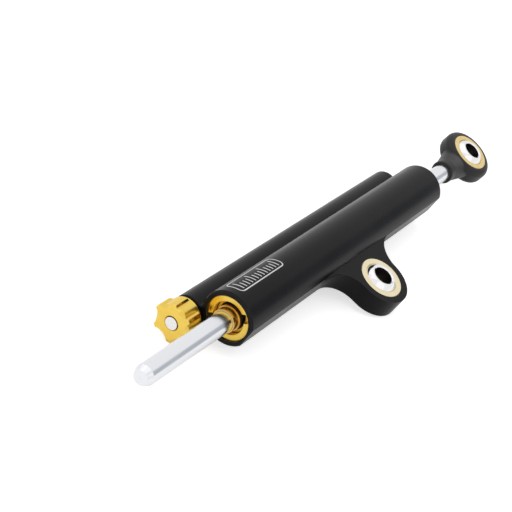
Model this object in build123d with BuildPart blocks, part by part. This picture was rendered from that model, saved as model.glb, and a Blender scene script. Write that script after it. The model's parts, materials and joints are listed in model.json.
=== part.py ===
from build123d import *
from math import atan2, cos, degrees, radians, sin, sqrt
import os

# Linear steering damper for a motorcycle. The origin is the centre of the ball in the body's lug.
# +X runs along the rod towards the rod end, +Z along the lug's bolt hole, and the lug points to -Y.
# All sizes are millimetres.

# Spherical bearings, one size in the lug and in the rod end
ball_bore = 8.0
ball_diameter = 15.875
ball_width = 12.0
race_diameter = 19.0
race_width = 9.0
race_mouth = 14.2
ball_clearance = 0.05
race_chamfer = 0.35
ball_bore_chamfer = 0.4

# Twin-tube body with its lug
body_length = 154.0
lug_to_front = 79.7
lug_to_axis = 22.0
main_diameter = 21.4
working_bore = 15.0
seat_bore = 17.5
seat_depth = 33.0
small_diameter = 13.6
small_distance = 17.0
small_angle = -44.0
crease_fillet = 1.0
lug_radius = 12.3
lug_fillet = 12.0
relief_depth = 0.25
relief_length = 60.0
body_chamfer = 0.45
port_bore = 2.4
port_depth = 37.0
bypass_bore = 3.0
valve_bore = 9.6
valve_bore_beyond_port = 5.0
chamber_bore = 9.6
chamber_depth = 34.0

# Piston rod and piston
rod_diameter = 8.0
nose_reach = 51.0
nose_length = 2.3
nose_chamfer = 1.05
nose_crown = 0.3
rod_clearance = 0.05
seal_clearance = 0.03
seal_section = 1.9
ring_play = 0.05
piston_length = 16.0
piston_setting = 69.0
piston_clearance = 0.08
piston_bleed_bore = 1.2
piston_bleed_circle = 11.6
band_width = 6.0
band_thickness = 1.0
band_clearance = 0.05
circlip_thickness = 1.0
circlip_depth = 0.4
circlip_height = 1.3
circlip_gap = 2.6

# Seal heads and lock rings, alike at both ends
ring_inset = 0.7
ring_thickness = 4.3
ring_bore = 12.9
ring_clearance = 0.04
spanner_slot_width = 3.5
spanner_slot_depth = 1.8
spanner_angle = 132.0
head_nose_depth = 3.2
head_nose_bore = 10.7
head_nose_clearance = 0.1
recess_depth = 7.0
dust_ring_depth = 4.4
bush_stand_out = 2.4
bush_wall = 0.5
bush_to_wiper = 2.4
bush_rim_thickness = 0.7
bush_rim_width = 0.35
rod_seal_inset = 2.5
rod_seal_width = 4.0
seal_spacing = 1.9
wiper_width = 2.6
head_land_clearance = 0.2
o_ring_depth = 15.0
o_ring_section = 1.4
o_ring_groove_width = 1.8

# Rod end
eye_to_lug = 123.2
eye_turn = 6.3
eye_radius = 12.7
eye_edge_radius = 3.0
neck_length = 25.4
neck_radius = 5.3
lip_radius = 1.1
neck_straight = 4.5
neck_root_width = 17.0
neck_root_thickness = 7.6
neck_root_inset = 6.5
stud_diameter = 6.0
stud_length = 12.0
socket_depth = 1.5

# Adjuster: cartridge, spindle, needle, knob and detent
knob_radius = 8.05
barrel_radius = 7.0
barrel_bevel = 0.6
knob_front = 10.2
knob_back = 1.0
crown_length = 6.8
lobe_count = 6
lobe_angle = 5.0
lobe_tip_width = 1.5
lobe_foot_width = 3.0
lobe_foot_radius = 6.0
lobe_foot_fillet = 0.4
scoop_radius = 5.5
scoop_floor = 5.7
scoop_length = 1.1
crown_edge_bevel = 0.25
pocket_bevel = 0.45
knob_web = 1.4
knob_end_clearance = 0.3
knob_bore_clearance = 0.05
screw_head_diameter = 5.0
screw_head_length = 1.9
screw_head_clearance = 0.12
screw_shank_diameter = 1.6
screw_shank_length = 4.5
cartridge_neck_diameter = 9.2
cartridge_neck_stand_out = 4.6
cartridge_clearance = 0.03
cartridge_beyond_port = 3.0
cartridge_groove_depth = 0.8
cartridge_groove_width = 2.8
cartridge_window = 2.4
cartridge_ring_depth = 12.0
small_ring_section = 1.2
small_ring_groove = 1.6
spindle_diameter = 4.0
spindle_clearance = 0.08
spindle_ring_depth = 1.5
spindle_ring_section = 0.7
spindle_ring_groove = 1.0
drive_width = 3.4
drive_clearance = 0.04
flange_diameter = 4.9
flange_depth = 5.0
flange_length = 1.2
hex_width = 2.5
hex_length = 7.8
needle_thread_diameter = 5.0
needle_thread_clearance = 0.05
needle_thread_start = 9.0
needle_thread_length = 9.0
needle_socket_depth = 6.5
needle_diameter = 3.0
needle_cone_length = 5.0
needle_tip_diameter = 1.0
needle_chamber_depth = 26.0
needle_chamber_bore = 6.4
valve_seat_bore = 2.0
valve_seat_thickness = 1.6
click_count = 8
detent_ball_diameter = 1.2
detent_hole_clearance = 0.05
detent_setting = 3.2
detent_stand_out = 0.35
detent_floor_radius = 2.7
detent_groove_width = 1.5
detent_groove_clearance = 0.06
detent_dimple_radius = 0.75
detent_dimple_depth = 0.2
detent_spring_wire = 0.2
detent_spring_coils = 3

# Compensator in the small tube's rear end
comp_piston_length = 8.0
comp_piston_setting = 26.0
comp_clearance = 0.05
comp_cup_bore = 6.4
comp_cup_depth = 4.5
comp_ring_setting = 2.2
comp_spring_wire = 0.9
comp_spring_coils = 5
comp_spring_clearance = 0.35
plug_inset = 0.8
plug_length = 7.6
plug_clearance = 0.03
plug_socket_width = 4.0
plug_socket_depth = 3.0
plug_ring_depth = 5.6

# Places that follow from the sizes
front_x = -lug_to_front
rear_x = front_x + body_length
axis_y = lug_to_axis
main_radius = main_diameter / 2
small_radius = small_diameter / 2
rod_radius = rod_diameter / 2
race_radius = race_diameter / 2
ball_radius = ball_diameter / 2
lug_half = race_width / 2
flat_y = axis_y - sqrt(main_radius**2 - lug_half**2)
small_y = axis_y + small_distance * cos(radians(small_angle))
small_z = small_distance * sin(radians(small_angle))

front_face = Plane.YZ.offset(front_x)
main_front = Plane(origin=(front_x, axis_y, 0), x_dir=(1, 0, 0), z_dir=(0, 0, 1))
main_rear = Plane(origin=(rear_x, axis_y, 0), x_dir=(-1, 0, 0), z_dir=(0, 0, 1))
small_front = Plane(origin=(front_x, small_y, small_z), x_dir=(1, 0, 0), z_dir=(0, 0, 1))
small_rear = Plane(origin=(rear_x, small_y, small_z), x_dir=(-1, 0, 0), z_dir=(0, 0, 1))
lug_plane = Plane.XY
eye_plane = Plane(
    origin=(eye_to_lug, axis_y, 0),
    x_dir=(1, 0, 0),
    z_dir=(0, -sin(radians(eye_turn)), cos(radians(eye_turn))),
)

# A sketch corner lies on a circle when it is at most this far from it
on_circle = 0.01

os.makedirs("parts", exist_ok=True)


def keep(piece, label):
    """Names a finished piece and writes it under its node name."""
    piece.part.label = label
    export_step(piece.part, f"parts/{label}.step")


def band(start, stop, inner, outer, mode=Mode.ADD):
    """One step of a turned profile: depth runs along the axis, radius across it."""
    with Locations((start, inner)):
        Rectangle(stop - start, outer - inner, align=(Align.MIN, Align.MIN), mode=mode)


def turning_axis(plane):
    """The axis that a profile drawn on this plane is turned about."""
    return Axis(plane.origin, plane.x_dir)


def round_ring(plane, depth, outer, section):
    """A round-section sealing ring whose outside touches the radius outer."""
    with BuildPart() as ring:
        with BuildSketch(plane):
            with Locations((depth, outer - section / 2)):
                Circle(section / 2)
        revolve(axis=turning_axis(plane))
    return ring


def coil_spring(plane, start, stop, mean_radius, wire, coils):
    """An open coil spring along a plane's x direction, from one depth to the other."""
    foot = plane.origin + plane.x_dir * (start + wire / 2)
    length = stop - start - wire
    with BuildPart() as spring:
        with BuildLine():
            coil = Helix(length / coils, length, mean_radius, center=foot, direction=plane.x_dir)
        with BuildSketch(Plane(origin=coil @ 0, z_dir=coil % 0)):
            Circle(wire / 2)
        sweep(path=coil, is_frenet=True)
    return spring


# Body: one twin-tube extrusion with the lug grown out of the flat on its side
fillet_y = flat_y - lug_fillet
fillet_x = sqrt((lug_radius + lug_fillet) ** 2 - fillet_y**2)
fillet_bearing = degrees(atan2(fillet_y, fillet_x))

with BuildPart() as body:
    with BuildSketch(front_face) as section:
        with Locations((axis_y, 0)):
            Circle(main_radius)
        with Locations((small_y, small_z)):
            Circle(small_radius)
        creases = section.vertices().filter_by(
            lambda v: abs(sqrt((v.X - axis_y) ** 2 + v.Y**2) - main_radius) < on_circle
            and abs(sqrt((v.X - small_y) ** 2 + (v.Y - small_z) ** 2) - small_radius) < on_circle
        )
        fillet(creases, crease_fillet)
        with Locations((flat_y, 0)):
            Rectangle(main_radius, main_diameter, align=(Align.MAX, Align.CENTER), mode=Mode.SUBTRACT)
    extrude(amount=body_length)

    with BuildSketch(Plane.XY.offset(-lug_half)):
        with BuildLine():
            CenterArc((-fillet_x, fillet_y), lug_fillet, 90, -(90 + fillet_bearing))
            CenterArc((0, 0), lug_radius, fillet_bearing, -(180 + 2 * fillet_bearing))
            CenterArc((fillet_x, fillet_y), lug_fillet, 90, 90 + fillet_bearing)
            Polyline((-fillet_x, flat_y), (-fillet_x, axis_y), (fillet_x, axis_y), (fillet_x, flat_y))
        make_face()
    extrude(amount=race_width)

    # The cutter that faced the lug ran a hair into the tube
    for side in (1, -1):
        with BuildSketch(Plane.XY.offset(side * lug_half)):
            with BuildLine():
                ThreePointArc(
                    (-relief_length / 2, flat_y),
                    (0, flat_y + relief_depth),
                    (relief_length / 2, flat_y),
                )
                Polyline(
                    (-relief_length / 2, flat_y),
                    (-relief_length / 2, flat_y - relief_depth),
                    (relief_length / 2, flat_y - relief_depth),
                    (relief_length / 2, flat_y),
                )
            make_face()
        extrude(amount=side * main_radius, mode=Mode.SUBTRACT)

    end_faces = body.faces().filter_by(Axis.X).sort_by(Axis.X)
    chamfer(end_faces[0].edges() + end_faces[-1].edges(), body_chamfer)

    with Locations(Plane(origin=(front_x, axis_y, 0), z_dir=(-1, 0, 0))):
        CounterBoreHole(working_bore / 2, seat_bore / 2, seat_depth)
    with Locations(Plane(origin=(rear_x, axis_y, 0), z_dir=(1, 0, 0))):
        Hole(seat_bore / 2, depth=seat_depth)
    with Locations(Plane(origin=(front_x, small_y, small_z), z_dir=(-1, 0, 0))):
        CounterBoreHole(bypass_bore / 2, valve_bore / 2, port_depth + valve_bore_beyond_port)
    with Locations(Plane(origin=(rear_x, small_y, small_z), z_dir=(1, 0, 0))):
        Hole(chamber_bore / 2, depth=chamber_depth)
    with Locations(Plane.XY.offset(lug_half)):
        Hole(race_radius)

    across = Vector(0, small_y - axis_y, small_z)
    for port_x in (front_x + port_depth, rear_x - port_depth):
        with BuildSketch(Plane(origin=(port_x, axis_y, 0), z_dir=across)):
            Circle(port_bore / 2)
        extrude(amount=small_distance, mode=Mode.SUBTRACT)

keep(body, "damper_body")

# Seal head, guide bush, seals and lock ring, the same at both ends of the main tube
seat_radius = seat_bore / 2
head_radius = seat_radius - ring_clearance
ring_stop = ring_inset + ring_thickness
bush_bore = rod_radius + rod_clearance
bush_radius = bush_bore + bush_wall
land_radius = rod_radius + head_land_clearance
bush_rim_stop = ring_inset + bush_rim_thickness
bush_rim_radius = bush_radius + bush_rim_width
rod_seal_start = seat_depth - rod_seal_inset - rod_seal_width
wiper_start = rod_seal_start - seal_spacing - wiper_width
bush_stop = wiper_start - bush_to_wiper
seal_bore = rod_radius + seal_clearance
seal_radius = rod_radius + seal_section

for end_name, end, inward in (("front", main_front, 1), ("rear", main_rear, -1)):
    with BuildPart() as lock_ring:
        with BuildSketch(end):
            band(ring_inset, ring_stop, ring_bore / 2, head_radius)
        revolve(axis=turning_axis(end))
        with BuildSketch(Plane.YZ.offset(end.origin.X + inward * ring_inset)):
            with Locations((axis_y, 0)):
                Rectangle(seat_bore, spanner_slot_width, rotation=spanner_angle)
        extrude(amount=inward * spanner_slot_depth, mode=Mode.SUBTRACT)
    keep(lock_ring, f"{end_name}_lock_ring")

    with BuildPart() as seal_head:
        with BuildSketch(end):
            band(ring_stop, seat_depth, bush_radius, head_radius)
            band(head_nose_depth, ring_stop, head_nose_bore / 2, ring_bore / 2 - head_nose_clearance)
            band(ring_stop, recess_depth, bush_radius, head_nose_bore / 2, Mode.SUBTRACT)
            band(bush_stop, seat_depth, land_radius, bush_radius)
            band(wiper_start, wiper_start + wiper_width, land_radius, seal_radius, Mode.SUBTRACT)
            band(rod_seal_start, rod_seal_start + rod_seal_width, land_radius, seal_radius, Mode.SUBTRACT)
            band(
                o_ring_depth - o_ring_groove_width / 2,
                o_ring_depth + o_ring_groove_width / 2,
                seat_radius - o_ring_section,
                seat_radius,
                Mode.SUBTRACT,
            )
        revolve(axis=turning_axis(end))
    keep(seal_head, f"{end_name}_seal_head")

    with BuildPart() as guide_bush:
        with BuildSketch(end):
            band(-bush_stand_out, bush_stop, bush_bore, bush_radius)
            band(ring_inset, bush_rim_stop, bush_radius, bush_rim_radius)
        revolve(axis=turning_axis(end))
    keep(guide_bush, f"{end_name}_guide_bush")

    with BuildPart() as dust_ring:
        with BuildSketch(end):
            band(bush_rim_stop, dust_ring_depth, bush_radius, bush_rim_radius)
            band(dust_ring_depth, recess_depth, bush_radius, head_nose_bore / 2)
        revolve(axis=turning_axis(end))
    keep(dust_ring, f"{end_name}_dust_ring")

    with BuildPart() as wiper:
        with BuildSketch(end):
            with BuildLine():
                Polyline(
                    (wiper_start, seal_bore),
                    (wiper_start, (seal_bore + seal_radius) / 2),
                    (wiper_start + wiper_width / 2, seal_radius),
                    (wiper_start + wiper_width, seal_radius),
                    (wiper_start + wiper_width, seal_bore),
                    close=True,
                )
            make_face()
        revolve(axis=turning_axis(end))
    keep(wiper, f"{end_name}_wiper")

    with BuildPart() as rod_seal:
        with BuildSketch(end):
            band(rod_seal_start, rod_seal_start + rod_seal_width, seal_bore, seal_radius)
            with BuildLine():
                Polyline(
                    (rod_seal_start + rod_seal_width, seal_bore + seal_section / 4),
                    (rod_seal_start + rod_seal_width / 2, (seal_bore + seal_radius) / 2),
                    (rod_seal_start + rod_seal_width, seal_radius - seal_section / 4),
                    close=True,
                )
            make_face(mode=Mode.SUBTRACT)
        revolve(axis=turning_axis(end))
    keep(rod_seal, f"{end_name}_rod_seal")

    keep(round_ring(end, o_ring_depth, seat_radius, o_ring_section), f"{end_name}_head_o_ring")

# Spherical bearings: a race staked in its eye and a ball that is free to tilt in it
ball_seat = ball_radius + ball_clearance
mouth_chamfer = race_mouth / 2 - sqrt(ball_seat**2 - lug_half**2)

for place, eye in (("lug", lug_plane), ("eye", eye_plane)):
    profile = Plane(origin=eye.origin, x_dir=eye.z_dir, z_dir=eye.x_dir)
    with BuildPart() as race:
        with BuildSketch(profile):
            Rectangle(race_width, race_radius, align=(Align.CENTER, Align.MIN))
            Circle(ball_seat, mode=Mode.SUBTRACT)
        revolve(axis=turning_axis(profile))
        rims = race.edges().filter_by(GeomType.CIRCLE).group_by(SortBy.RADIUS)
        chamfer(rims[0], mouth_chamfer)
        rims = race.edges().filter_by(GeomType.CIRCLE).group_by(SortBy.RADIUS)
        chamfer(rims[-1], race_chamfer)
    keep(race, f"{place}_race")

    with BuildPart() as ball:
        with BuildSketch(profile):
            Circle(ball_radius)
            Rectangle(ball_width, ball_radius, align=(Align.CENTER, Align.MIN), mode=Mode.INTERSECT)
            Rectangle(ball_width, ball_bore / 2, align=(Align.CENTER, Align.MIN), mode=Mode.SUBTRACT)
        revolve(axis=turning_axis(profile))
        bore_rims = ball.edges().filter_by(GeomType.CIRCLE).group_by(SortBy.RADIUS)[0]
        chamfer(bore_rims, ball_bore_chamfer)
    keep(ball, f"{place}_ball")

# Piston rod, turned in one piece from the crowned nose to the stud in the rod end
nose_x = front_x - nose_reach
nose_edge_x = nose_x + nose_crown
shoulder_x = nose_edge_x + nose_length
lip_x = eye_to_lug - neck_length
rod_stop = lip_x + socket_depth
piston_x = front_x + piston_setting
rod_axis = Plane(origin=(0, axis_y, 0), x_dir=(1, 0, 0), z_dir=(0, 0, 1))
nose_radius = rod_radius - nose_chamfer
circlip_floor = rod_radius - circlip_depth
circlip_starts = (
    piston_x - piston_length / 2 - circlip_thickness,
    piston_x + piston_length / 2,
)

with BuildPart() as piston_rod:
    with BuildSketch(rod_axis):
        with BuildLine():
            TangentArc((nose_x, 0), (nose_edge_x, nose_radius), tangent=(0, 1))
            Polyline(
                (nose_edge_x, nose_radius),
                (shoulder_x, rod_radius),
                (rod_stop, rod_radius),
                (rod_stop, stud_diameter / 2),
                (rod_stop + stud_length, stud_diameter / 2),
                (rod_stop + stud_length, 0),
                (nose_x, 0),
            )
        make_face()
        for start in circlip_starts:
            band(start, start + circlip_thickness, circlip_floor, rod_radius, Mode.SUBTRACT)
    revolve(axis=turning_axis(rod_axis))
keep(piston_rod, "piston_rod")

# Piston, its slide band and the two circlips that hold it on the rod
piston_radius = working_bore / 2 - piston_clearance
band_radius = working_bore / 2 - band_clearance
band_floor = band_radius - band_thickness

with BuildPart() as piston:
    with BuildSketch(rod_axis):
        band(piston_x - piston_length / 2, piston_x + piston_length / 2, rod_radius, piston_radius)
        band(piston_x - band_width / 2, piston_x + band_width / 2, band_floor, piston_radius, Mode.SUBTRACT)
    revolve(axis=turning_axis(rod_axis))
    rims = piston.edges().filter_by(GeomType.CIRCLE).group_by(Axis.X)
    chamfer(
        (rims[0] + rims[-1]).filter_by(lambda e: e.radius > band_floor),
        circlip_depth,
    )
    with BuildSketch(Plane.YZ.offset(piston_x - piston_length / 2)):
        with Locations((axis_y, 0)):
            with PolarLocations(piston_bleed_circle / 2, 4):
                Circle(piston_bleed_bore / 2)
    extrude(amount=piston_length, mode=Mode.SUBTRACT)
keep(piston, "piston")

with BuildPart() as piston_band:
    with BuildSketch(rod_axis):
        band(piston_x - band_width / 2, piston_x + band_width / 2, band_floor, band_radius)
    revolve(axis=turning_axis(rod_axis))
keep(piston_band, "piston_band")

with BuildPart() as circlips:
    for start in circlip_starts:
        with BuildSketch(Plane.YZ.offset(start)):
            with Locations((axis_y, 0)):
                Circle(circlip_floor + circlip_height)
                Circle(circlip_floor, mode=Mode.SUBTRACT)
                Rectangle(
                    circlip_gap,
                    circlip_floor + circlip_height,
                    align=(Align.CENTER, Align.MAX),
                    mode=Mode.SUBTRACT,
                )
        extrude(amount=circlip_thickness)
keep(circlips, "piston_circlips")

# Rod end: a forged eye whose neck flares out of a round shank, turned a little about the rod
neck_root_x = eye_to_lug - neck_root_inset
shank_stop = lip_x + neck_straight


def shank_plane(x):
    """A section plane across the shank, turned with the eye."""
    return Plane(origin=(x, axis_y, 0), x_dir=eye_plane.y_dir, z_dir=(1, 0, 0))


with BuildPart() as rod_end:
    with BuildSketch(eye_plane.offset(-lug_half)):
        Circle(eye_radius)
    extrude(amount=race_width)
    fillet(rod_end.edges().filter_by(GeomType.CIRCLE), eye_edge_radius)
    with BuildSketch(shank_plane(shank_stop)):
        Circle(neck_radius)
    with BuildSketch(shank_plane(neck_root_x)):
        Ellipse(neck_root_width / 2, neck_root_thickness / 2)
    loft()
    with BuildSketch(shank_plane(lip_x)):
        Circle(neck_radius)
    extrude(amount=neck_straight)
    lip_edge = rod_end.edges().filter_by(GeomType.CIRCLE).sort_by(Axis.X)[0]
    fillet(lip_edge, lip_radius)
    with Locations(Plane(origin=(lip_x, axis_y, 0), z_dir=(-1, 0, 0))):
        CounterBoreHole(stud_diameter / 2, rod_radius, socket_depth, depth=socket_depth + stud_length)
    with Locations(eye_plane.offset(lug_half)):
        Hole(race_radius, depth=race_width)
keep(rod_end, "rod_end")

# Adjuster cartridge: a sleeve in the front of the small tube whose neck carries the knob
valve_radius = valve_bore / 2
cartridge_radius = valve_radius - cartridge_clearance
neck_outer = cartridge_neck_diameter / 2
shaft_radius = spindle_diameter / 2
shaft_bore = shaft_radius + spindle_clearance
thread_radius = needle_thread_diameter / 2
thread_bore = thread_radius + needle_thread_clearance
chamber_radius = needle_chamber_bore / 2
cartridge_length = port_depth + cartridge_beyond_port
seat_start = cartridge_length - valve_seat_thickness
detent_bore = detent_ball_diameter / 2 + detent_hole_clearance
detent_axis = Plane(origin=small_front.origin - (detent_setting, 0, 0), z_dir=(0, 1, 0))

with BuildPart() as cartridge:
    with BuildSketch(small_front):
        band(-cartridge_neck_stand_out, 0, shaft_bore, neck_outer)
        band(0, cartridge_length, shaft_bore, cartridge_radius)
        band(flange_depth, cartridge_length, shaft_bore, thread_bore, Mode.SUBTRACT)
        band(needle_chamber_depth, cartridge_length, shaft_bore, chamber_radius, Mode.SUBTRACT)
        band(
            port_depth - cartridge_groove_width / 2,
            port_depth + cartridge_groove_width / 2,
            cartridge_radius - cartridge_groove_depth,
            cartridge_radius,
            Mode.SUBTRACT,
        )
        band(
            cartridge_ring_depth - small_ring_groove / 2,
            cartridge_ring_depth + small_ring_groove / 2,
            valve_radius - small_ring_section,
            valve_radius,
            Mode.SUBTRACT,
        )
    revolve(axis=turning_axis(small_front))
    with BuildSketch(Plane(origin=small_front.origin + (port_depth, 0, 0), z_dir=across)):
        Circle(cartridge_window / 2)
    extrude(amount=cartridge_radius, both=True, mode=Mode.SUBTRACT)
    with BuildSketch(detent_axis.offset(detent_floor_radius)):
        Circle(detent_bore)
    extrude(amount=neck_outer, mode=Mode.SUBTRACT)
keep(cartridge, "valve_cartridge")
keep(
    round_ring(small_front, cartridge_ring_depth, valve_radius, small_ring_section),
    "cartridge_o_ring",
)

with BuildPart() as valve_seat:
    with BuildSketch(small_front):
        band(seat_start, cartridge_length, valve_seat_bore / 2, chamber_radius)
    revolve(axis=turning_axis(small_front))
keep(valve_seat, "valve_seat")

# Spindle: turned by the knob's hexagon, held by its flange, and driving the needle by its own hexagon
web_front = -knob_front + screw_head_length
web_back = web_front + knob_web
flange_stop = flange_depth + flange_length


def hexagon(width):
    """A hexagon of this width across its flats, centred on the small tube's axis."""
    with Locations((small_y, small_z)):
        RegularPolygon(width / 2, 6, major_radius=False)


with BuildPart() as spindle:
    with BuildSketch(small_front):
        band(-cartridge_neck_stand_out, flange_depth, 0, shaft_radius)
        band(flange_depth, flange_stop, 0, flange_diameter / 2)
        band(
            spindle_ring_depth - spindle_ring_groove / 2,
            spindle_ring_depth + spindle_ring_groove / 2,
            shaft_bore - spindle_ring_section,
            shaft_radius,
            Mode.SUBTRACT,
        )
    revolve(axis=turning_axis(small_front))
    with BuildSketch(front_face.offset(web_back)):
        hexagon(drive_width)
    extrude(amount=-web_back - cartridge_neck_stand_out)
    with BuildSketch(front_face.offset(flange_stop)):
        hexagon(hex_width)
    extrude(amount=hex_length)
    with BuildSketch(front_face.offset(web_back)):
        with Locations((small_y, small_z)):
            Circle(screw_shank_diameter / 2)
    extrude(amount=screw_shank_length - knob_web, mode=Mode.SUBTRACT)
keep(spindle, "adjuster_spindle")
keep(
    round_ring(
        small_front,
        spindle_ring_depth,
        shaft_bore - ring_play,
        spindle_ring_section - ring_play,
    ),
    "spindle_o_ring",
)

# Needle: threaded in the cartridge, turned by the spindle's hexagon, with a cone that meters the oil
needle_thread_stop = needle_thread_start + needle_thread_length
# The needle's tip is level with the cartridge's end
needle_reach = cartridge_length

with BuildPart() as needle:
    with BuildSketch(small_front):
        band(needle_thread_start, needle_thread_stop, 0, thread_radius)
        with BuildLine():
            Polyline(
                (needle_thread_stop, 0),
                (needle_thread_stop, needle_diameter / 2),
                (needle_reach - needle_cone_length, needle_diameter / 2),
                (needle_reach, needle_tip_diameter / 2),
                (needle_reach, 0),
                close=True,
            )
        make_face()
    revolve(axis=turning_axis(small_front))
    with BuildSketch(front_face.offset(needle_thread_start)):
        hexagon(hex_width + 2 * drive_clearance)
    extrude(amount=needle_socket_depth, mode=Mode.SUBTRACT)
keep(needle, "valve_needle")

# Knob: a barrel with six narrow lobes, and a scoop across its front edge between each two of them
cavity_front = -cartridge_neck_stand_out - knob_end_clearance
knob_bore = neck_outer + knob_bore_clearance
groove_radius = neck_outer + detent_stand_out + detent_groove_clearance
pocket_radius = screw_head_diameter / 2 + screw_head_clearance
crown_stop = -knob_front + crown_length
knob_face = small_front.origin - (knob_front, 0, 0)
scoop_lean = atan2(barrel_radius - scoop_floor, scoop_length)

with BuildPart() as knob:
    with BuildSketch(front_face.offset(-knob_front)) as knob_section:
        with Locations((small_y, small_z)):
            Circle(barrel_radius)
            with PolarLocations(0, lobe_count, start_angle=lobe_angle):
                Polygon(
                    (lobe_foot_radius, -lobe_foot_width / 2),
                    (knob_radius, -lobe_tip_width / 2),
                    (knob_radius, lobe_tip_width / 2),
                    (lobe_foot_radius, lobe_foot_width / 2),
                    align=None,
                )
        feet = knob_section.vertices().filter_by(
            lambda v: abs(sqrt((v.X - small_y) ** 2 + (v.Y - small_z) ** 2) - barrel_radius) < on_circle
        )
        fillet(feet, lobe_foot_fillet)
    extrude(amount=knob_front - knob_back)

    with BuildSketch(small_front):
        with BuildLine():
            Polyline(
                (-knob_front, 0),
                (-knob_front, knob_radius - crown_edge_bevel),
                (-knob_front + crown_edge_bevel, knob_radius),
                (crown_stop, knob_radius),
                (crown_stop + knob_radius - barrel_radius, barrel_radius),
                (-knob_back - barrel_bevel, barrel_radius),
                (-knob_back, barrel_radius - barrel_bevel),
                (-knob_back, 0),
                close=True,
            )
        make_face()
    revolve(axis=turning_axis(small_front), mode=Mode.INTERSECT)

    for lobe in range(lobe_count):
        bearing = radians(lobe_angle + (lobe + 0.5) * 360 / lobe_count)
        outward = Vector(0, cos(bearing), sin(bearing))
        lean = Vector(1, 0, 0) * cos(scoop_lean) + outward * sin(scoop_lean)
        away = outward * cos(scoop_lean) - Vector(1, 0, 0) * sin(scoop_lean)
        start = knob_face + outward * scoop_floor + away * scoop_radius
        with BuildSketch(Plane(origin=start, z_dir=lean)):
            Circle(scoop_radius)
        extrude(amount=knob_front, both=True, mode=Mode.SUBTRACT)

    with BuildSketch(small_front):
        band(-knob_front, web_front, 0, pocket_radius)
        with BuildLine():
            Polyline(
                (-knob_front, pocket_radius),
                (-knob_front, pocket_radius + pocket_bevel),
                (-knob_front + pocket_bevel, pocket_radius),
                close=True,
            )
        make_face()
        band(web_front, web_back, 0, screw_shank_diameter / 2)
        band(cavity_front, -knob_back, 0, knob_bore)
        band(
            -detent_setting - detent_groove_width / 2,
            -detent_setting + detent_groove_width / 2,
            knob_bore,
            groove_radius,
        )
    revolve(axis=turning_axis(small_front), mode=Mode.SUBTRACT)
    with BuildSketch(front_face.offset(web_back)):
        hexagon(drive_width + 2 * drive_clearance)
    extrude(amount=cavity_front - web_back, mode=Mode.SUBTRACT)
    dimple_reach = groove_radius + detent_dimple_depth - detent_dimple_radius
    with Locations(Plane(origin=detent_axis.origin, z_dir=(1, 0, 0), x_dir=(0, 1, 0))):
        with PolarLocations(dimple_reach, click_count):
            Sphere(detent_dimple_radius, mode=Mode.SUBTRACT)
keep(knob, "adjuster_knob")

with BuildPart() as knob_screw:
    with BuildSketch(small_front):
        band(-knob_front, web_front, 0, screw_head_diameter / 2)
        band(web_front, web_front + screw_shank_length, 0, screw_shank_diameter / 2)
    revolve(axis=turning_axis(small_front))
keep(knob_screw, "knob_screw")

# Detent: a ball that a small spring presses outwards into the knob's groove
ball_seat_radius = neck_outer + detent_stand_out - detent_ball_diameter / 2
spring_stop = ball_seat_radius - detent_ball_diameter / 2

with BuildPart() as detent_ball:
    with Locations(detent_axis.offset(ball_seat_radius)):
        Sphere(detent_ball_diameter / 2)
keep(detent_ball, "detent_ball")

detent_spring = coil_spring(
    Plane(origin=detent_axis.origin, x_dir=(0, 1, 0), z_dir=(0, 0, 1)),
    detent_floor_radius,
    spring_stop,
    detent_bore - detent_hole_clearance - detent_spring_wire / 2,
    detent_spring_wire,
    detent_spring_coils,
)
keep(detent_spring, "detent_spring")

# Compensator: a spring-loaded piston that takes up the oil's growth as it warms
chamber_wall = chamber_bore / 2
comp_start = comp_piston_setting - comp_piston_length / 2
comp_stop = comp_piston_setting + comp_piston_length / 2
comp_ring_depth = comp_stop - comp_ring_setting
plug_stop = plug_inset + plug_length

with BuildPart() as compensator:
    with BuildSketch(small_rear):
        band(comp_start, comp_stop, 0, chamber_wall - comp_clearance)
        band(comp_start, comp_start + comp_cup_depth, 0, comp_cup_bore / 2, Mode.SUBTRACT)
        band(
            comp_ring_depth - small_ring_groove / 2,
            comp_ring_depth + small_ring_groove / 2,
            chamber_wall - small_ring_section,
            chamber_wall,
            Mode.SUBTRACT,
        )
    revolve(axis=turning_axis(small_rear))
keep(compensator, "compensator_piston")
keep(
    round_ring(
        small_rear,
        comp_ring_depth,
        chamber_wall - ring_play,
        small_ring_section - ring_play,
    ),
    "compensator_o_ring",
)

with BuildPart() as plug:
    with BuildSketch(small_rear):
        band(plug_inset, plug_stop, 0, chamber_wall - plug_clearance)
        band(
            plug_ring_depth - small_ring_groove / 2,
            plug_ring_depth + small_ring_groove / 2,
            chamber_wall - small_ring_section,
            chamber_wall,
            Mode.SUBTRACT,
        )
    revolve(axis=turning_axis(small_rear))
    with BuildSketch(front_face.offset(body_length - plug_inset)):
        hexagon(plug_socket_width)
    extrude(amount=-plug_socket_depth, mode=Mode.SUBTRACT)
keep(plug, "chamber_plug")
keep(round_ring(small_rear, plug_ring_depth, chamber_wall, small_ring_section), "plug_o_ring")

compensator_spring = coil_spring(
    small_rear,
    plug_stop,
    comp_start + comp_cup_depth,
    comp_cup_bore / 2 - comp_spring_clearance - comp_spring_wire / 2,
    comp_spring_wire,
    comp_spring_coils,
)
keep(compensator_spring, "compensator_spring")
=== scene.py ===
import bpy
import json
import math
from mathutils import Matrix, Quaternion, Vector


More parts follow.
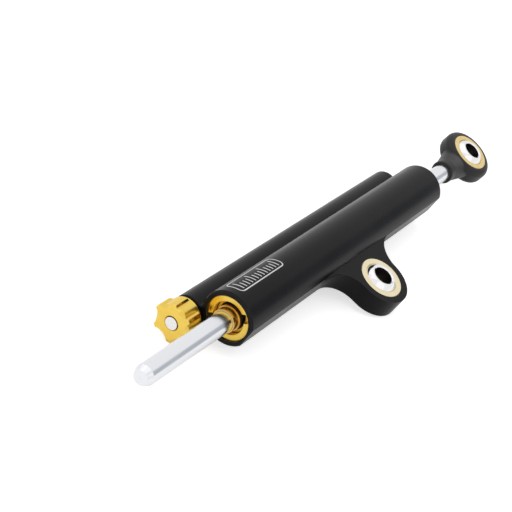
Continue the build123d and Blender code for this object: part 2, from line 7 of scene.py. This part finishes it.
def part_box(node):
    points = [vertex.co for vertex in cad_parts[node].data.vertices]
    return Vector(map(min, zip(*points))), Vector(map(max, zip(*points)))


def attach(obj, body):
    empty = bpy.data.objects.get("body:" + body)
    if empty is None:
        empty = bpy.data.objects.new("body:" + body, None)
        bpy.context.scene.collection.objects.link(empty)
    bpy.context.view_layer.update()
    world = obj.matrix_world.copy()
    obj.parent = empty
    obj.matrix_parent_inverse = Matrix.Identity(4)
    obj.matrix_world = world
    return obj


# Linear steering damper on a white table. Everything is in metres, in the part's own frame:
# the origin is the ball in the body's lug, +X runs towards the rod end, +Z along the lug's bolt hole.

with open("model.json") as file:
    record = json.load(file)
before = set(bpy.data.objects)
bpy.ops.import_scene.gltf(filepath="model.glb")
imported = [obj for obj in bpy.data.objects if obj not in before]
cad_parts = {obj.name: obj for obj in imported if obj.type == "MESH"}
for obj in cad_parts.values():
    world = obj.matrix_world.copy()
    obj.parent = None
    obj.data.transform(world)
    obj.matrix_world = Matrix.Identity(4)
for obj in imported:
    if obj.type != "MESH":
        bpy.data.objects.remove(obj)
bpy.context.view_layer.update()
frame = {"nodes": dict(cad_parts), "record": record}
nodes = frame["nodes"]

MM = 0.001

# Places read from the part
body_low, body_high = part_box("damper_body")
ring_low, ring_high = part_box("front_lock_ring")
knob_low, knob_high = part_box("adjuster_knob")
race_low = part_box("lug_race")[0]
eye_low, eye_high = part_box("eye_ball")
plug_low, plug_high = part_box("chamber_plug")
front_x = body_low.x
rear_x = body_high.x
main_axis = Vector((0, (ring_low.y + ring_high.y) / 2, 0))
small_axis = Vector((0, (plug_low.y + plug_high.y) / 2, (plug_low.z + plug_high.z) / 2))
main_radius = body_high.z
small_radius = small_axis.z - body_low.z
eye_centre = (eye_low + eye_high) / 2
eye_turn = math.radians(6.3)
lug_centre = Vector((0, 0, 0))
ball_bore_radius = 4.0 * MM
bore_margin = 0.06 * MM


# Small helpers for node trees

def node(tree, kind, **settings):
    """Adds a node and sets its plain properties, such as its operation."""
    made = tree.nodes.new(kind)
    for name, value in settings.items():
        setattr(made, name, value)
    return made


def put(made, **values):
    """Sets input values by socket name, with underscores for spaces."""
    for name, value in values.items():
        made.inputs[name.replace("_", " ")].default_value = value
    return made


def math_node(tree, operation, first, second=None, third=None):
    """A Math node fed by sockets or numbers; returns its output."""
    made = node(tree, "ShaderNodeMath", operation=operation)
    for socket, value in zip(made.inputs, (first, second, third)):
        if value is None:
            continue
        if isinstance(value, (int, float)):
            socket.default_value = value
        else:
            tree.links.new(value, socket)
    return made.outputs[0]


def new_group(name, inputs, outputs):
    """An empty node group with the named sockets, given as (name, socket kind, starting value)."""
    tree = bpy.data.node_groups.new(name, "ShaderNodeTree")
    for socket_name, kind, value in inputs:
        socket = tree.interface.new_socket(socket_name, in_out="INPUT", socket_type=kind)
        if value is not None:
            socket.default_value = value
    for socket_name, kind in outputs:
        tree.interface.new_socket(socket_name, in_out="OUTPUT", socket_type=kind)
    return tree, tree.nodes.new("NodeGroupInput").outputs, tree.nodes.new("NodeGroupOutput").inputs


def radius_from_axis(tree, place):
    """The distance of a place from the Z axis, as a socket."""
    split = node(tree, "ShaderNodeSeparateXYZ")
    tree.links.new(place, split.inputs[0])
    across = math_node(tree, "POWER", split.outputs["X"], 2.0)
    along = math_node(tree, "POWER", split.outputs["Y"], 2.0)
    return math_node(tree, "SQRT", math_node(tree, "ADD", across, along))


FLOAT = "NodeSocketFloat"
VECTOR = "NodeSocketVector"

edge_gain = 9.0
edge_floor = 0.35
painted_shade_falloff = 1.5


# Effects that several finishes share

def make_blasted_grain():
    """The fine pitted grain of a bead-blasted surface, with its slower unevenness of gloss."""
    tree, given, out = new_group(
        "blasted grain",
        [("Place", VECTOR, None), ("Grain", FLOAT, 5000.0), ("Mottle", FLOAT, 60.0)],
        [("Height", FLOAT), ("Unevenness", FLOAT)],
    )
    fine = put(node(tree, "ShaderNodeTexNoise"), Detail=2.0, Roughness=0.6)
    slow = put(node(tree, "ShaderNodeTexNoise"), Detail=3.0, Roughness=0.55)
    tree.links.new(given["Place"], fine.inputs["Vector"])
    tree.links.new(given["Place"], slow.inputs["Vector"])
    tree.links.new(given["Grain"], fine.inputs["Scale"])
    tree.links.new(given["Mottle"], slow.inputs["Scale"])
    tree.links.new(fine.outputs["Fac"], out["Height"])
    tree.links.new(slow.outputs["Fac"], out["Unevenness"])
    return tree


def make_turned_rings():
    """Tool marks of a faced surface: rings about the local Z axis whose depth changes with the radius."""
    tree, given, out = new_group(
        "turned rings",
        [("Place", VECTOR, None), ("Pitch", FLOAT, 4000.0)],
        [("Height", FLOAT), ("Tone", FLOAT)],
    )
    radius = radius_from_axis(tree, given["Place"])
    steps = math_node(tree, "MULTIPLY", radius, given["Pitch"])
    marks = node(tree, "ShaderNodeTexNoise", noise_dimensions="1D")
    put(marks, Scale=1.0, Detail=2.0, Roughness=0.7)
    slow = node(tree, "ShaderNodeTexNoise", noise_dimensions="1D")
    put(slow, Scale=0.12, Detail=1.0)
    tree.links.new(steps, marks.inputs["W"])
    tree.links.new(steps, slow.inputs["W"])
    tree.links.new(marks.outputs["Fac"], out["Height"])
    tree.links.new(slow.outputs["Fac"], out["Tone"])
    return tree


def make_ground_lines():
    """Grinding or extrusion lines: fine marks that depend on two local directions, long in the third."""
    tree, given, out = new_group(
        "ground lines",
        [("Place", VECTOR, None), ("Fineness", FLOAT, 3000.0), ("Stretch", FLOAT, 0.02)],
        [("Height", FLOAT)],
    )
    squeeze = node(tree, "ShaderNodeCombineXYZ")
    tree.links.new(given["Stretch"], squeeze.inputs["X"])
    squeeze.inputs["Y"].default_value = 1.0
    squeeze.inputs["Z"].default_value = 1.0
    scaled = node(tree, "ShaderNodeVectorMath", operation="MULTIPLY")
    tree.links.new(given["Place"], scaled.inputs[0])
    tree.links.new(squeeze.outputs[0], scaled.inputs[1])
    lines = put(node(tree, "ShaderNodeTexNoise"), Detail=3.0, Roughness=0.65)
    tree.links.new(scaled.outputs[0], lines.inputs["Vector"])
    tree.links.new(given["Fineness"], lines.inputs["Scale"])
    tree.links.new(lines.outputs["Fac"], out["Height"])
    return tree


def make_edge_wear_and_highlight():
    """Sharp edges with a tiny radius: their rounded normal, and a mask of them that noise breaks up; the
    mask paints edges paler, partly as wear and partly as painted highlight.
    """
    tree, given, out = new_group(
        "edge wear and highlight",
        [("Place", VECTOR, None), ("Width", FLOAT, 0.00015), ("Breaks", FLOAT, 900.0)],
        [("Mask", FLOAT), ("Rounded", VECTOR)],
    )
    rounded = node(tree, "ShaderNodeBevel", samples=6)
    tree.links.new(given["Width"], rounded.inputs["Radius"])
    plain = node(tree, "ShaderNodeNewGeometry")
    turn = node(tree, "ShaderNodeVectorMath", operation="DOT_PRODUCT")
    tree.links.new(rounded.outputs[0], turn.inputs[0])
    tree.links.new(plain.outputs["Normal"], turn.inputs[1])
    bend = math_node(tree, "SUBTRACT", 1.0, turn.outputs["Value"])
    noise = put(node(tree, "ShaderNodeTexNoise"), Detail=2.0)
    tree.links.new(given["Place"], noise.inputs["Vector"])
    tree.links.new(given["Breaks"], noise.inputs["Scale"])
    gain = math_node(tree, "MULTIPLY", bend, edge_gain)
    patches = math_node(tree, "ADD", noise.outputs["Fac"], edge_floor)
    broken = math_node(tree, "MULTIPLY", gain, patches)
    kept = node(tree, "ShaderNodeClamp")
    tree.links.new(broken, kept.inputs["Value"])
    tree.links.new(kept.outputs[0], out["Mask"])
    tree.links.new(rounded.outputs[0], out["Rounded"])
    return tree


def make_painted_crevice_shade():
    """A mask that is 1 deep in inside corners and narrow gaps, where it paints shade onto the surface."""
    tree, given, out = new_group("painted_crevice_shade", [("Reach", FLOAT, 0.001)], [("Mask", FLOAT)])
    open_sky = node(tree, "ShaderNodeAmbientOcclusion", samples=6)
    tree.links.new(given["Reach"], open_sky.inputs["Distance"])
    shut = math_node(tree, "SUBTRACT", 1.0, open_sky.outputs["AO"])
    tree.links.new(math_node(tree, "POWER", shut, painted_shade_falloff), out["Mask"])
    return tree


def make_round_the_axis():
    """A mask that is 1 within a radius of the local Z axis."""
    tree, given, out = new_group(
        "round the axis",
        [("Place", VECTOR, None), ("Radius", FLOAT, 0.004)],
        [("Inside", FLOAT)],
    )
    radius = radius_from_axis(tree, given["Place"])
    tree.links.new(math_node(tree, "LESS_THAN", radius, given["Radius"]), out["Inside"])
    return tree


blasted_grain = make_blasted_grain()
turned_rings = make_turned_rings()
ground_lines = make_ground_lines()
edge_wear_and_highlight = make_edge_wear_and_highlight()
round_the_axis = make_round_the_axis()
painted_crevice_shade = make_painted_crevice_shade()


# Finishes

class Finish:
    """A material with its shader and object coordinates at hand, and short ways to feed the shader."""

    def __init__(self, name, **shader_values):
        self.material = bpy.data.materials.new(name)
        self.material.use_nodes = True
        self.tree = self.material.node_tree
        self.shader = self.tree.nodes["Principled BSDF"]
        put(self.shader, **shader_values)
        self.place = node(self.tree, "ShaderNodeTexCoord").outputs["Object"]

    def centred(self, centre, turn=(0, 0, 0)):
        """Object coordinates moved so that centre is 0, then turned, so that the wanted axis is local Z."""
        moved = node(self.tree, "ShaderNodeVectorMath", operation="SUBTRACT")
        self.tree.links.new(self.place, moved.inputs[0])
        moved.inputs[1].default_value = centre
        turned = node(self.tree, "ShaderNodeMapping")
        turned.inputs["Rotation"].default_value = turn
        self.tree.links.new(moved.outputs[0], turned.inputs["Vector"])
        return turned.outputs[0]

    def effect(self, group, place, **values):
        """Places a shared effect and returns its outputs."""
        made = node(self.tree, "ShaderNodeGroup", node_tree=group)
        self.tree.links.new(place, made.inputs["Place"])
        put(made, **values)
        return made.outputs

    def painted_corner_shade(self, reach):
        """The mask of painted shade in the inside corners, for a reach in metres."""
        made = node(self.tree, "ShaderNodeGroup", node_tree=painted_crevice_shade)
        put(made, Reach=reach)
        return made.outputs["Mask"]

    def ranged(self, value, low, high, from_low=0.3, from_high=0.7):
        """Maps a value onto a range."""
        made = node(self.tree, "ShaderNodeMapRange")
        self.tree.links.new(value, made.inputs["Value"])
        put(made, From_Min=from_low, From_Max=from_high, To_Min=low, To_Max=high)
        return made.outputs["Result"]

    def mixed(self, mask, colour_a, colour_b):
        """A colour between two, by a mask; each may be a colour or a socket."""
        made = node(self.tree, "ShaderNodeMix", data_type="RGBA")
        self.tree.links.new(mask, made.inputs["Factor"])
        for socket, colour in ((made.inputs["A"], colour_a), (made.inputs["B"], colour_b)):
            if isinstance(colour, tuple):
                socket.default_value = (*colour, 1.0)
            else:
                self.tree.links.new(colour, socket)
        return made.outputs["Result"]

    def varied(self, value, colour_a, colour_b):
        """A colour that wanders between two, as a noise value does."""
        return self.mixed(self.ranged(value, 0.0, 1.0), colour_a, colour_b)

    def wear_and_highlight_tint(self, mask, full, colour_a, colour_b):
        """The first colour, turned to the second by a mask; full is the share at the mask's 1."""
        return self.mixed(self.ranged(mask, 0.0, full, 0.0, 1.0), colour_a, colour_b)

    def feed(self, socket_name, value):
        """Links a changing value to one of the shader's sockets."""
        self.tree.links.new(value, self.shader.inputs[socket_name])

    def bump(self, height, depth, strength=1.0, under=None):
        """Adds a bump of this depth in metres, on top of another normal if one is given."""
        made = put(node(self.tree, "ShaderNodeBump"), Strength=strength, Distance=depth)
        self.tree.links.new(height, made.inputs["Height"])
        if under is not None:
            self.tree.links.new(under, made.inputs["Normal"])
        self.feed("Normal", made.outputs[0])
        return made.outputs[0]


def colour(*values):
    """An RGBA colour from three numbers."""
    return (*values, 1.0)


def black_anodised():
    """Satin black anodising on a fine blasted and extruded surface, its edges paler from wear and from
    painted highlight.
    """
    finish = Finish("black anodised", IOR=1.5, Specular_IOR_Level=0.14)
    grain = finish.effect(blasted_grain, finish.place, Grain=9000.0, Mottle=45.0)
    edge = finish.effect(edge_wear_and_highlight, finish.place, Width=0.0002, Breaks=700.0)
    lines = finish.effect(ground_lines, finish.place, Fineness=1400.0, Stretch=0.01)["Height"]
    tone = finish.varied(grain["Unevenness"], (0.0045, 0.0045, 0.005), (0.0075, 0.0073, 0.0078))
    # Pale edges: partly wear, partly a painted highlight along the edges.
    finish.feed("Base Color", finish.wear_and_highlight_tint(edge["Mask"], 0.7, tone, (0.09, 0.09, 0.095)))
    finish.feed("Roughness", finish.ranged(grain["Unevenness"], 0.2, 0.27))
    under = finish.bump(grain["Height"], 0.000004, 0.5, edge["Rounded"])
    finish.bump(lines, 0.000002, 0.35, under)
    return finish.material


def forged_black():
    """The rod end's black coating, a shade rougher and more uneven than the body's."""
    finish = Finish("forged black", IOR=1.5, Specular_IOR_Level=0.34)
    grain = finish.effect(blasted_grain, finish.place, Grain=5200.0, Mottle=140.0)
    edge = finish.effect(edge_wear_and_highlight, finish.place, Width=0.0003, Breaks=500.0)
    tone = finish.varied(grain["Unevenness"], (0.009, 0.009, 0.01), (0.015, 0.0147, 0.0143))
    # Pale edges: partly wear, partly a painted highlight along the edges.
    finish.feed("Base Color", finish.wear_and_highlight_tint(edge["Mask"], 0.6, tone, (0.09, 0.088, 0.085)))
    finish.feed("Roughness", finish.ranged(grain["Unevenness"], 0.3, 0.42))
    finish.bump(grain["Height"], 0.000012, 0.6, edge["Rounded"])
    return finish.material


def gold_anodised(name, centre, turn):
    """Gold anodised aluminium with turned rings, painted shade in its corners, and paler edges that are
    partly wear and partly painted highlight.
    """
    finish = Finish(name, Metallic=1.0)
    grain = finish.effect(blasted_grain, finish.place, Grain=8000.0, Mottle=200.0)
    edge = finish.effect(edge_wear_and_highlight, finish.place, Width=0.00012, Breaks=900.0)
    rings = finish.effect(turned_rings, finish.centred(centre, turn), Pitch=9000.0)
    tone = finish.varied(grain["Unevenness"], (0.99, 0.72, 0.15), (0.95, 0.65, 0.11))
    # Painted shade: the gold turns deep brown in inside corners and narrow gaps.
    painted_shade = finish.ranged(finish.painted_corner_shade(1.8 * MM), 0.0, 1.0, 0.03, 0.55)
    shaded = finish.mixed(painted_shade, tone, (0.34, 0.14, 0.012))
    # Paler edges: partly wear, partly a painted highlight along the edges.
    finish.feed("Base Color", finish.wear_and_highlight_tint(edge["Mask"], 0.6, shaded, (0.97, 0.78, 0.32)))
    finish.feed("Roughness", finish.ranged(rings["Tone"], 0.17, 0.28))
    under = finish.bump(grain["Height"], 0.000005, 0.5, edge["Rounded"])
    finish.bump(rings["Height"], 0.000003, 0.5, under)
    return finish.material


def race_gold(name, centre, turn, light, dark):
    """A bearing race's pale gold, faced on a lathe."""
    finish = Finish(name, Metallic=1.0)
    rings = finish.effect(turned_rings, finish.centred(centre, turn), Pitch=7000.0)
    grain = finish.effect(blasted_grain, finish.place, Grain=6000.0, Mottle=260.0)
    edge = finish.effect(edge_wear_and_highlight, finish.place, Width=0.00012, Breaks=900.0)
    finish.feed("Base Color", finish.varied(grain["Unevenness"], light, dark))
    finish.feed("Roughness", finish.ranged(rings["Tone"], 0.22, 0.36))
    finish.bump(rings["Height"], 0.000004, 0.7, edge["Rounded"])
    return finish.material


def polished_ball(name, centre, turn):
    """A bearing's polished ball with the faintest haze, its bore painted dark as shade."""
    finish = Finish(name, Metallic=1.0)
    grain = finish.effect(blasted_grain, finish.place, Grain=3000.0, Mottle=300.0)
    middle = finish.centred(centre, turn)
    painted_bore_shade = finish.effect(round_the_axis, middle, Radius=ball_bore_radius + bore_margin)["Inside"]
    haze = finish.ranged(grain["Unevenness"], 0.05, 0.1)
    # Painted shade: the bore is coloured near black.
    finish.feed("Base Color", finish.mixed(painted_bore_shade, (0.97, 0.97, 0.975), (0.11, 0.10, 0.093)))
    finish.feed("Roughness", math_node(finish.tree, "MULTIPLY_ADD", painted_bore_shade, 0.3, haze))
    finish.bump(grain["Height"], 0.0000006, 0.4)
    return finish.material


def hard_chrome():
    """The rod's ground and polished hard chrome."""
    finish = Finish("hard chrome", Base_Color=colour(0.92, 0.93, 0.95), Metallic=1.0)
    grain = finish.effect(blasted_grain, finish.place, Grain=2500.0, Mottle=90.0)
    marks = finish.effect(turned_rings, finish.centred(main_axis), Pitch=3000.0)
    finish.feed("Roughness", finish.ranged(grain["Unevenness"], 0.17, 0.23))
    finish.bump(marks["Height"], 0.0000004, 0.3)
    return finish.material


def marked_grey():
    """The pale satin lines of a laser marking on black anodising."""
    finish = Finish("marked grey", Roughness=0.42)
    grain = finish.effect(blasted_grain, finish.place, Grain=9000.0, Mottle=500.0)
    finish.feed("Base Color", finish.varied(grain["Unevenness"], (0.66, 0.66, 0.65), (0.80, 0.80, 0.79)))
    finish.bump(grain["Height"], 0.000004, 0.6)
    return finish.material


def slide_bronze():
    """Guide bush and valve seat: fine turned bronze."""
    finish = Finish("slide bronze", Metallic=1.0)
    grain = finish.effect(blasted_grain, finish.place, Grain=5000.0, Mottle=220.0)
    finish.feed("Base Color", finish.varied(grain["Unevenness"], (0.84, 0.60, 0.24), (0.68, 0.43, 0.14)))
    finish.feed("Roughness", finish.ranged(grain["Unevenness"], 0.2, 0.3))
    finish.bump(grain["Height"], 0.000002, 0.4)
    return finish.material


def black_rubber():
    """Matte nitrile rubber."""
    finish = Finish("black rubber", Base_Color=colour(0.012, 0.012, 0.012), IOR=1.52)
    grain = finish.effect(blasted_grain, finish.place, Grain=4000.0, Mottle=300.0)
    finish.feed("Roughness", finish.ranged(grain["Unevenness"], 0.5, 0.7))
    finish.bump(grain["Height"], 0.00001, 0.5)
    return finish.material


def slide_plastic():
    """Bronze-filled slide plastic."""
    finish = Finish("slide plastic", Roughness=0.42, IOR=1.4)
    grain = finish.effect(blasted_grain, finish.place, Grain=3500.0, Mottle=500.0)
    finish.feed("Base Color", finish.varied(grain["Unevenness"], (0.13, 0.08, 0.04), (0.20, 0.13, 0.075)))
    finish.bump(grain["Height"], 0.000006, 0.5)
    return finish.material


def turned_metal(name, base, roughness):
    """Plain turned metal for the pieces inside and the knob's screw."""
    finish = Finish(name, Base_Color=colour(*base), Metallic=1.0)
    grain = finish.effect(blasted_grain, finish.place, Grain=5000.0, Mottle=240.0)
    finish.feed("Roughness", finish.ranged(grain["Unevenness"], roughness * 0.8, roughness * 1.25))
    finish.bump(grain["Height"], 0.000002, 0.4)
    return finish.material


ALONG_X = (0, math.radians(-90), 0)
ALONG_Z = (0, 0, 0)
ALONG_EYE = (-eye_turn, 0, 0)

finishes = {
    "black_anodised": black_anodised(),
    "forged_black": forged_black(),
    "polished_chrome": turned_metal("polished chrome", (0.90, 0.90, 0.91), 0.12),
    "bright_steel": turned_metal("bright steel", (0.93, 0.93, 0.93), 0.24),
    "plain_aluminium": turned_metal("plain aluminium", (0.80, 0.80, 0.81), 0.34),
    "spring_steel": turned_metal("spring steel", (0.42, 0.42, 0.44), 0.3),
    "slide_bronze": slide_bronze(),
    "black_rubber": black_rubber(),
    "slide_plastic": slide_plastic(),
}
gold_main = gold_anodised("gold anodised ring", main_axis, ALONG_X)
own_finishes = {
    "piston_rod": hard_chrome(),
    "front_lock_ring": gold_main,
    "rear_lock_ring": gold_main,
    "front_seal_head": gold_main,
    "rear_seal_head": gold_main,
    "adjuster_knob": gold_anodised("gold anodised knob", small_axis, ALONG_X),
    "lug_race": race_gold("lug race", lug_centre, ALONG_Z, (0.98, 0.88, 0.62), (0.94, 0.82, 0.54)),
    "eye_race": race_gold("eye race", eye_centre, ALONG_EYE, (0.94, 0.74, 0.36), (0.86, 0.64, 0.28)),
    "lug_ball": polished_ball("lug ball", lug_centre, ALONG_Z),
    "eye_ball": polished_ball("eye ball", eye_centre, ALONG_EYE),
}

for part in frame["record"]["subparts"]:
    name = part["node"]
    finish = own_finishes.get(name) or finishes[part["material_slot"]]
    mesh_object = nodes[name]
    mesh_object.data.materials.clear()
    mesh_object.data.materials.append(finish)


# Marking on the main tube: a thin frame round a plain row of graduation lines

mark_start = front_x + 3.7 * MM
mark_length = 28.6 * MM
mark_near_angle = math.radians(76.0)
mark_far_angle = math.radians(34.0)
mark_corner = 1.9 * MM
mark_line = 0.42 * MM
mark_height = 0.03 * MM
mark_middle_angle = (mark_near_angle + mark_far_angle) / 2
mark_width = 2 * main_radius * math.sin((mark_near_angle - mark_far_angle) / 2)
mark_centre_x = mark_start + mark_length / 2
line_count = 13
line_margin = 2.6 * MM
line_long = 5.0 * MM
line_short = 3.2 * MM
long_every = 4
base_margin = 1.1 * MM
cut_spacing = 0.55 * MM
mark_clearance = 0.002 * MM
start_radius = 1.2 * main_radius


def cut_across():
    """Cuts the mesh in edit mode into short stretches, so that it can follow the tube's curve."""
    steps = int(mark_width / cut_spacing)
    for step in range(1, steps):
        bpy.ops.mesh.select_all(action="SELECT")
        bpy.ops.mesh.bisect(plane_co=(0, step * cut_spacing - mark_width / 2, 0), plane_no=(0, 1, 0))


def lay_on_tube(piece, name):
    """Projects a flat piece made round the origin onto the main tube and gives it its thickness."""
    piece.name = name
    out_y = start_radius * math.cos(mark_middle_angle)
    out_z = start_radius * math.sin(mark_middle_angle)
    piece.location = (mark_centre_x, main_axis.y + out_y, out_z)
    piece.rotation_euler = (mark_middle_angle - math.radians(90), 0, 0)
    wrap = piece.modifiers.new("wrap", "SHRINKWRAP")
    wrap.target = nodes["damper_body"]
    wrap.wrap_method = "PROJECT"
    wrap.use_project_z = True
    wrap.use_positive_direction = False
    wrap.use_negative_direction = True
    wrap.offset = mark_clearance
    bpy.ops.object.modifier_apply(modifier="wrap")
    wall = piece.modifiers.new("wall", "SOLIDIFY")
    wall.thickness = mark_height
    wall.offset = 1.0
    bpy.ops.object.modifier_apply(modifier="wall")
    bpy.ops.object.transform_apply(location=True, rotation=True, scale=True)
    piece.data.materials.append(marking)
    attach(piece, "housing")


def make_mark_frame():
    """The frame's outline: a flat rounded rectangle with its middle taken out."""
    bpy.ops.object.select_all(action="DESELECT")
    bpy.ops.mesh.primitive_plane_add(size=1.0)
    outline = bpy.context.object
    outline.scale = (mark_length, mark_width, 1)
    bpy.ops.object.transform_apply(scale=True)
    bpy.ops.object.mode_set(mode="EDIT")
    bpy.ops.mesh.select_all(action="SELECT")
    bpy.ops.mesh.bevel(offset=mark_corner, segments=6, affect="VERTICES")
    bpy.ops.mesh.select_all(action="SELECT")
    bpy.ops.mesh.inset(thickness=mark_line)
    bpy.ops.mesh.delete(type="FACE")
    cut_across()
    bpy.ops.object.mode_set(mode="OBJECT")
    lay_on_tube(outline, "mark_frame")


def make_graduation():
    """Evenly spaced lines that start from one base line, every fourth one longer."""
    spacing = (mark_length - 2 * line_margin) / (line_count - 1)
    base = mark_width / 2 - base_margin
    lines = []
    for number in range(line_count):
        length = line_long if number % long_every == 0 else line_short
        bpy.ops.object.select_all(action="DESELECT")
        x = (number - (line_count - 1) / 2) * spacing
        bpy.ops.mesh.primitive_plane_add(size=1.0, location=(x, length / 2 - base, 0))
        line = bpy.context.object
        line.scale = (mark_line, length, 1)
        bpy.ops.object.transform_apply(location=True, scale=True)
        lines.append(line)
    for line in lines:
        line.select_set(True)
    bpy.ops.object.join()
    graduation = bpy.context.object
    bpy.ops.object.mode_set(mode="EDIT")
    cut_across()
    bpy.ops.object.mode_set(mode="OBJECT")
    lay_on_tube(graduation, "mark_graduation")


marking = marked_grey()
make_mark_frame()
make_graduation()


# Camera, at the photograph's viewing angle

camera_place = Vector((-0.424804, -0.036843, 0.300316))
camera_aim = Vector((-0.05959, 0.03249, 0.01272))
camera_roll = math.radians(40.38)
camera_lens = 92.47

bpy.ops.object.camera_add(location=camera_place)
camera = bpy.context.object
camera.name = "camera"
camera.data.lens = camera_lens
camera.data.sensor_width = 36.0
camera.data.clip_start = 0.01
camera.data.clip_end = 20.0
camera.rotation_mode = "QUATERNION"
look = (camera_aim - camera_place).to_track_quat("-Z", "Y")
camera.rotation_quaternion = look @ Quaternion((0, 0, 1), camera_roll)
bpy.context.scene.camera = camera


# Table: the damper lies on its knob, the small tube's rear end and the tip of its lug

table_tilt = math.radians(17.23)
table_normal = Vector((0, math.sin(table_tilt), math.cos(table_tilt)))
knob_radius = (knob_high.y - knob_low.y) / 2
knob_touch = Vector((knob_low.x, small_axis.y, small_axis.z)) - knob_radius * table_normal
tube_touch = Vector((rear_x, small_axis.y, small_axis.z)) - small_radius * table_normal
lug_touch = Vector((0, body_low.y, race_low.z))
table_normal = (tube_touch - knob_touch).cross(lug_touch - knob_touch).normalized()
if table_normal.z < 0:
    table_normal.negate()
table_gap = 0.05 * MM
table_lift = 0.62
table_glossy_lift = 0.18
table_radius = 4.0
table_paper = 0.82


def make_table():
    """A wide white table under the damper, seen as pure white but for the soft shadow."""
    bpy.ops.mesh.primitive_circle_add(vertices=96, radius=table_radius, fill_type="NGON")
    table = bpy.context.object
    table.name = "table"
    turn = table_normal.to_track_quat("Z", "Y").to_matrix().to_4x4()
    place = Matrix.Translation(lug_touch - table_gap * table_normal)
    table.data.transform(place @ turn)

    material = bpy.data.materials.new("white table")
    material.use_nodes = True
    tree = material.node_tree
    tree.nodes.clear()
    light_path = node(tree, "ShaderNodeLightPath")
    geometry = node(tree, "ShaderNodeNewGeometry")
    paper = put(node(tree, "ShaderNodeBsdfDiffuse"), Color=colour(table_paper, table_paper, table_paper))
    lift = put(node(tree, "ShaderNodeEmission"), Color=colour(1.0, 1.0, 1.0))
    clear = node(tree, "ShaderNodeBsdfTransparent")
    both = node(tree, "ShaderNodeAddShader")
    sided = node(tree, "ShaderNodeMixShader")
    end = node(tree, "ShaderNodeOutputMaterial")
    seen = math_node(tree, "MULTIPLY", light_path.outputs["Is Camera Ray"], table_lift)
    mirrored = math_node(tree, "MULTIPLY", light_path.outputs["Is Glossy Ray"], table_glossy_lift)
    tree.links.new(math_node(tree, "ADD", seen, mirrored), lift.inputs["Strength"])
    tree.links.new(paper.outputs[0], both.inputs[0])
    tree.links.new(lift.outputs[0], both.inputs[1])
    tree.links.new(geometry.outputs["Backfacing"], sided.inputs[0])
    tree.links.new(both.outputs[0], sided.inputs[1])
    tree.links.new(clear.outputs[0], sided.inputs[2])
    tree.links.new(sided.outputs[0], end.inputs["Surface"])
    table.data.materials.append(material)


make_table()


# Light: a bright room and three large weak soft boxes

def soft_box(name, direction, distance, size, power):
    """A square soft light at a distance from the damper, facing it."""
    aim = Vector((0, main_axis.y, 0))
    place = aim + Vector(direction).normalized() * distance
    bpy.ops.object.light_add(type="AREA", location=place)
    box = bpy.context.object
    box.name = name
    box.data.shape = "SQUARE"
    box.data.size = size
    box.data.energy = power
    box.rotation_mode = "QUATERNION"
    box.rotation_quaternion = (aim - place).to_track_quat("-Z", "Y")


soft_box("overhead box", (-0.1, 0.45, 1.0), 1.6, 1.8, 1.6)
soft_box("back box", (0.2, 1.0, 0.6), 1.8, 1.6, 1.2)
soft_box("front box", (-0.9, -0.9, 0.9), 1.8, 1.6, 1.2)

room_light = 0.86
band_towards = Vector((0.777, -0.47, 0.41)).normalized()
band_depth = 0.42
glow_towards = Vector((0.777, -0.66, -0.08)).normalized()
glow_gain = 0.45
cone_edge = 0.93
band_core = 0.995
glow_core = 0.99


def cone(tree, way, towards, edge, core):
    """A soft mask of the directions near one direction: 0 at the cosine edge, 1 at the cosine core."""
    near = node(tree, "ShaderNodeVectorMath", operation="DOT_PRODUCT")
    tree.links.new(way, near.inputs[0])
    near.inputs[1].default_value = towards
    soft = node(tree, "ShaderNodeMapRange", interpolation_type="SMOOTHSTEP")
    tree.links.new(near.outputs["Value"], soft.inputs["Value"])
    put(soft, From_Min=edge, From_Max=core)
    return soft.outputs["Result"]


world = bpy.data.worlds.new("bright room")
bpy.context.scene.world = world
world.use_nodes = True
tree = world.node_tree
tree.nodes.clear()
light_path = node(tree, "ShaderNodeLightPath")
way = node(tree, "ShaderNodeTexCoord").outputs["Generated"]
band = cone(tree, way, band_towards, cone_edge, band_core)
glow = cone(tree, way, glow_towards, cone_edge, glow_core)
dimmed = math_node(tree, "MULTIPLY_ADD", band, -band_depth, room_light)
level = math_node(tree, "MULTIPLY_ADD", glow, glow_gain, dimmed)
tint = node(tree, "ShaderNodeMix", data_type="RGBA")
tree.links.new(band, tint.inputs["Factor"])
tint.inputs["A"].default_value = colour(0.99, 0.99, 1.0)
tint.inputs["B"].default_value = colour(0.93, 0.98, 1.06)
room = node(tree, "ShaderNodeBackground")
tree.links.new(tint.outputs["Result"], room.inputs["Color"])
tree.links.new(level, room.inputs["Strength"])
backdrop = put(node(tree, "ShaderNodeBackground"), Color=colour(1.0, 1.0, 1.0), Strength=1.0)
seen = node(tree, "ShaderNodeMixShader")
end = node(tree, "ShaderNodeOutputWorld")
tree.links.new(light_path.outputs["Is Camera Ray"], seen.inputs[0])
tree.links.new(room.outputs[0], seen.inputs[1])
tree.links.new(backdrop.outputs[0], seen.inputs[2])
tree.links.new(seen.outputs[0], end.inputs["Surface"])

bpy.context.scene.view_settings.view_transform = "Standard"


# Bring the scene's transforms up to date

bpy.context.view_layer.update()
